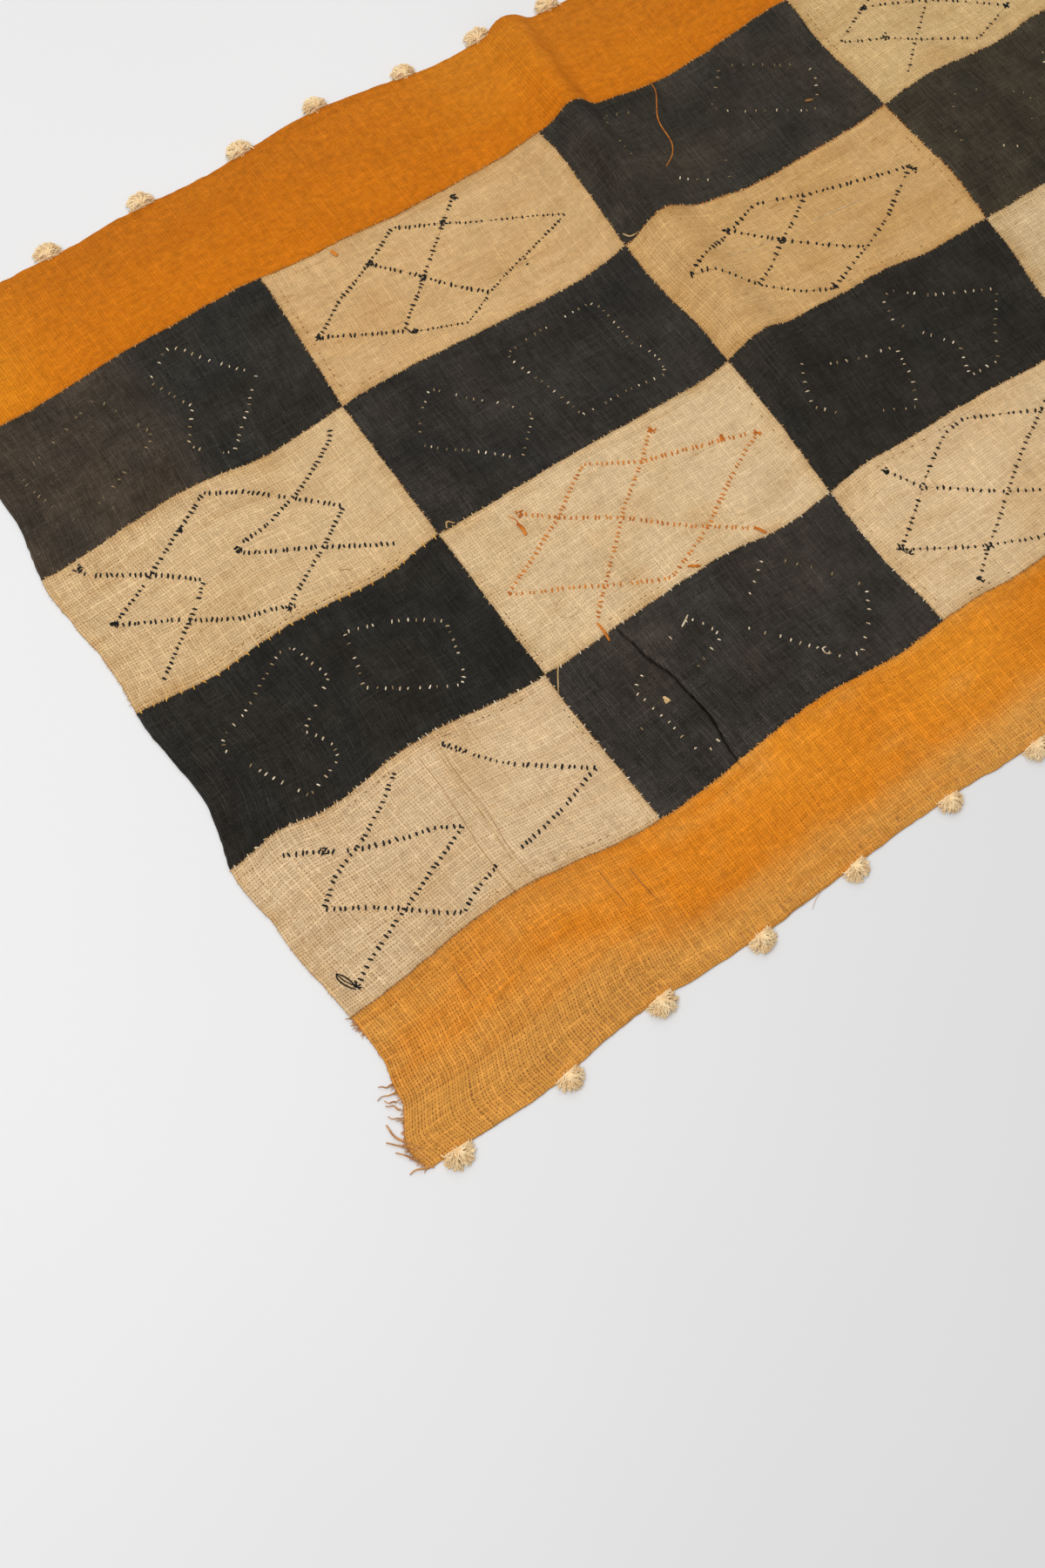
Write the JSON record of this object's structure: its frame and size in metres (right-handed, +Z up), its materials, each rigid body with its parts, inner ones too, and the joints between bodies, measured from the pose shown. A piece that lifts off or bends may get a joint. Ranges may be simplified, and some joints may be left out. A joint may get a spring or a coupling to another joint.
{
  "type": "kuba raffia cloth",
  "caption": "Checked patchwork cloth of woven raffia in black and natural, with ochre bands and small pompoms along its long sides, lying flat with one soft buckle across it.",
  "frame": {"origin": "middle of the cloth's length and width, on the floor it lies on", "axes": "+X along the cloth towards its right end, +Y across it towards the upper band, +Z up from the floor"},
  "size_m": [1.262, 0.7368, 0.0172],
  "materials": {
    "natural_raffia": "matt",
    "black_raffia": "matt",
    "ochre_raffia": "matt",
    "pompom_raffia": "matt"
  },
  "bodies": {
    "root": {"patch_c1_r1": "black_raffia", "patch_c1_r2": "natural_raffia", "patch_c1_r3": "black_raffia", "patch_c1_r4": "natural_raffia", "patch_c2_r1": "natural_raffia", "patch_c2_r2": "black_raffia", "patch_c2_r3": "natural_raffia", "patch_c2_r4": "black_raffia", "patch_c3_r1": "black_raffia", "patch_c3_r2": "natural_raffia", "patch_c3_r3": "black_raffia", "patch_c3_r4": "natural_raffia", "patch_c4_r1": "natural_raffia", "patch_c4_r2": "black_raffia", "patch_c4_r3": "natural_raffia", "patch_c4_r4": "black_raffia", "patch_c5_r1": "black_raffia", "patch_c5_r2": "natural_raffia", "patch_c5_r3": "black_raffia", "patch_c5_r4": "natural_raffia", "band_upper": "ochre_raffia", "band_lower": "ochre_raffia", "pompom_upper_01": "pompom_raffia", "pompom_upper_02": "pompom_raffia", "pompom_upper_03": "pompom_raffia", "pompom_upper_04": "pompom_raffia", "pompom_upper_05": "pompom_raffia", "pompom_upper_06": "pompom_raffia", "pompom_upper_07": "pompom_raffia", "pompom_upper_08": "pompom_raffia", "pompom_upper_09": "pompom_raffia", "pompom_upper_10": "pompom_raffia", "pompom_upper_11": "pompom_raffia", "pompom_upper_12": "pompom_raffia", "pompom_upper_13": "pompom_raffia", "pompom_upper_14": "pompom_raffia", "pompom_upper_15": "pompom_raffia", "pompom_upper_16": "pompom_raffia", "pompom_lower_01": "pompom_raffia", "pompom_lower_02": "pompom_raffia", "pompom_lower_03": "pompom_raffia", "pompom_lower_04": "pompom_raffia", "pompom_lower_05": "pompom_raffia", "pompom_lower_06": "pompom_raffia", "pompom_lower_07": "pompom_raffia", "pompom_lower_08": "pompom_raffia", "pompom_lower_09": "pompom_raffia", "pompom_lower_10": "pompom_raffia", "pompom_lower_11": "pompom_raffia", "pompom_lower_12": "pompom_raffia", "pompom_lower_13": "pompom_raffia", "pompom_lower_14": "pompom_raffia", "pompom_lower_15": "pompom_raffia", "pompom_lower_16": "pompom_raffia"}
  },
  "joints": []
}
